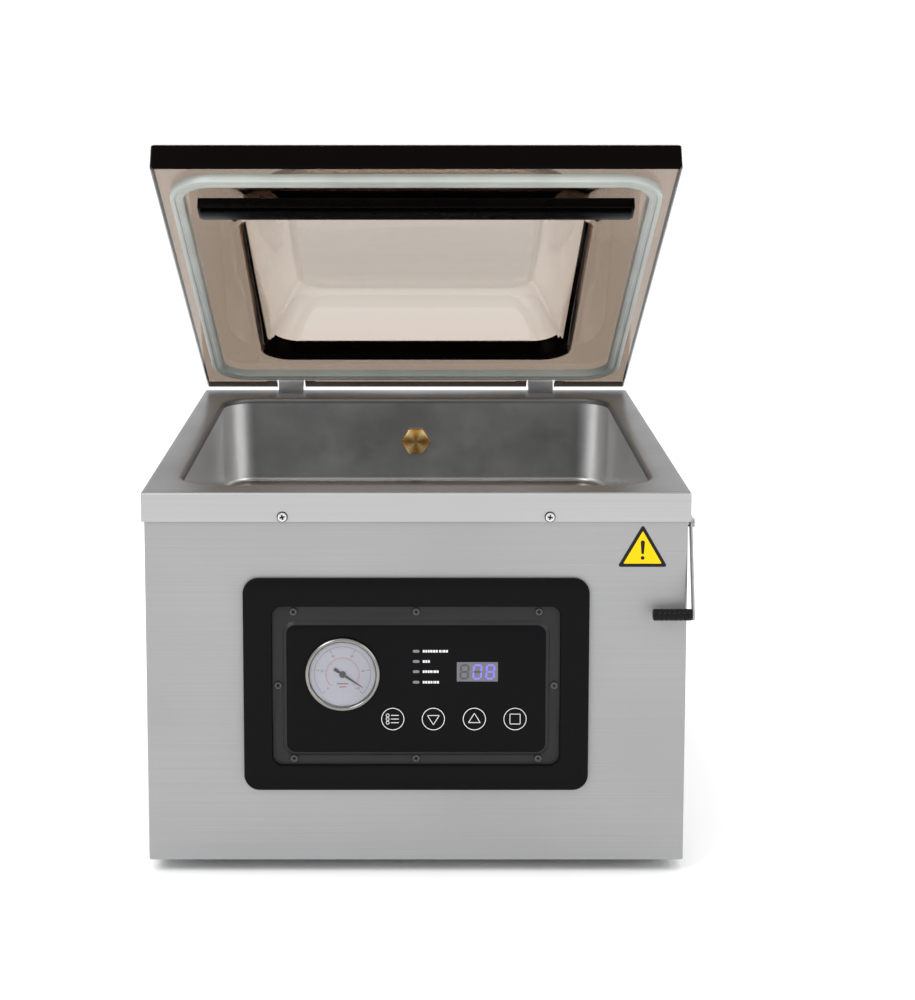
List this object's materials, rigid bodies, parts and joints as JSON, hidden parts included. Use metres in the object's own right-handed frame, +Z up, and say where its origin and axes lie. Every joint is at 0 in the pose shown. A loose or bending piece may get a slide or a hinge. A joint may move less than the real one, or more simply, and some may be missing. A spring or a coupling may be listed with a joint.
{
  "type": "chamber vacuum packing machine",
  "caption": "Countertop chamber vacuum sealer with a stainless casing, hinged clear domed lid, seal bar, front control panel with gauge, and a pump inside.",
  "frame": {"origin": "on the floor below the middle of the deck", "axes": "+X user's right, +Y back, +Z up; the front panel faces -Y"},
  "size_m": [0.4967, 0.5816, 0.6573],
  "materials": {
    "stainless_panel": "horizontal brushed grain",
    "stainless_deck": "satin, darker than the panels",
    "galvanised_pan": "galvanised",
    "foot_rubber": "matte",
    "stainless_bright": "satin",
    "gauge_chrome": "polished",
    "bezel_gloss": "high gloss",
    "frame_plastic": "fine texture",
    "screw_black": "black oxide",
    "key_gloss": "film over a key, ring and icon",
    "dial_white": "printed scale",
    "gauge_steel": "black",
    "gauge_lens": "clear",
    "pointer_black": "matte",
    "display_grey": "diffused window",
    "switch_plastic": "moulded",
    "board_green": "circuit board",
    "label_yellow": "printed film",
    "brass": "turned",
    "hose_rubber": "matte",
    "aluminium_cast": "machined",
    "pump_iron": "as cast",
    "sight_glass": "clear over oil",
    "motor_paint": "painted",
    "shaft_steel": "ground",
    "fan_plastic": "moulded",
    "transformer_steel": "varnished",
    "rocker_red": "moulded",
    "acrylic_brown": "clear acrylic with a brown tint",
    "gasket_silicone": "translucent silicone",
    "bar_black": "extruded profile",
    "bar_rubber": "matte strip",
    "seal_tape": "glass-cloth tape",
    "grip_black": "matte sleeve"
  },
  "bodies": {
    "casing": {"casing_wrap": "stainless_panel", "rear_panel": "stainless_panel", "base_pan": "galvanised_pan", "rubber_feet": "foot_rubber", "top_deck": "stainless_deck", "chamber_tub": "stainless_deck", "panel_screws": "stainless_bright", "control_bezel": "bezel_gloss", "control_frame": "frame_plastic", "frame_screws": "screw_black", "keypad_plate": "bezel_gloss", "gauge_bezel": "gauge_chrome", "gauge_case": "gauge_steel", "gauge_glass": "gauge_lens", "gauge_dial": "dial_white", "display_module": "display_grey", "indicator_lights": "display_grey", "tact_switches": "switch_plastic", "control_board": "board_green", "hazard_label": "label_yellow", "port_nut": "brass", "port_elbow": "brass", "suction_hoses": "hose_rubber", "valve_block": "aluminium_cast", "solenoid_coils": "switch_plastic", "pump_body": "pump_iron", "oil_case": "aluminium_cast", "oil_sight_glass": "sight_glass", "exhaust_filter": "switch_plastic", "motor_housing": "motor_paint", "fan_cover": "switch_plastic", "pump_mounts": "foot_rubber", "seal_transformer": "transformer_steel", "power_board": "board_green", "power_inlet": "switch_plastic", "switch_housing": "switch_plastic", "lid_sensor": "switch_plastic", "hinge_blocks": "stainless_bright", "hinge_springs": "shaft_steel", "lift_cylinders": "aluminium_cast", "latch_pivot": "stainless_bright"},
    "lid": {"hinge_pins": "stainless_bright", "lid_glass": "acrylic_brown", "lid_gasket": "gasket_silicone", "counter_bar": "bar_black", "counter_rubber": "bar_rubber"},
    "seal_bar": {"seal_bar": "aluminium_cast", "seal_wire": "seal_tape", "lift_rods": "stainless_bright"},
    "latch": {"latch_arm": "stainless_bright", "latch_grip": "grip_black"},
    "key_menu": {"key_menu": "key_gloss"},
    "key_down": {"key_down": "key_gloss"},
    "key_up": {"key_up": "key_gloss"},
    "key_stop": {"key_stop": "key_gloss"},
    "pointer": {"gauge_pointer": "pointer_black"},
    "rocker": {"power_rocker": "rocker_red"},
    "rotor": {"motor_shaft": "shaft_steel", "motor_rotor": "shaft_steel", "motor_fan": "fan_plastic"}
  },
  "joints": [
    {"name": "lid_hinge", "type": "hinge", "parent": "casing", "child": "lid", "pos_m": [0, 0.2698, 0.3685], "axis": [1, 0, 0], "range_deg": [0, 30], "stiffness_Nm_per_rad": 34, "springref_deg": -48.7},
    {"name": "seal_bar_lift", "type": "slide", "parent": "casing", "child": "seal_bar", "axis": [0, 0, 1], "range_m": [0, 0.008]},
    {"name": "latch_swing", "type": "hinge", "parent": "casing", "child": "latch", "pos_m": [0.2466, -0.262, 0.321], "axis": [1, 0, 0], "range_deg": [-175, 0]},
    {"name": "key_menu_press", "type": "slide", "parent": "casing", "child": "key_menu", "axis": [0, 1, 0], "range_m": [0, 0.0005], "stiffness_N_per_m": 800},
    {"name": "key_down_press", "type": "slide", "parent": "casing", "child": "key_down", "axis": [0, 1, 0], "range_m": [0, 0.0005], "stiffness_N_per_m": 800},
    {"name": "key_up_press", "type": "slide", "parent": "casing", "child": "key_up", "axis": [0, 1, 0], "range_m": [0, 0.0005], "stiffness_N_per_m": 800},
    {"name": "key_stop_press", "type": "slide", "parent": "casing", "child": "key_stop", "axis": [0, 1, 0], "range_m": [0, 0.0005], "stiffness_N_per_m": 800},
    {"name": "gauge_reading", "type": "hinge", "parent": "casing", "child": "pointer", "pos_m": [-0.066, -0.2795, 0.18605], "axis": [0, -1, 0], "range_deg": [0, 248], "stiffness_Nm_per_rad": 0.002},
    {"name": "power_rocking", "type": "hinge", "parent": "casing", "child": "rocker", "pos_m": [0.13, 0.275, 0.06], "axis": [1, 0, 0], "range_deg": [-16, 0]},
    {"name": "motor_spin", "type": "hinge", "parent": "casing", "child": "rotor", "pos_m": [0.1, 0.06, 0.105], "axis": [1, 0, 0], "continuous": true}
  ]
}
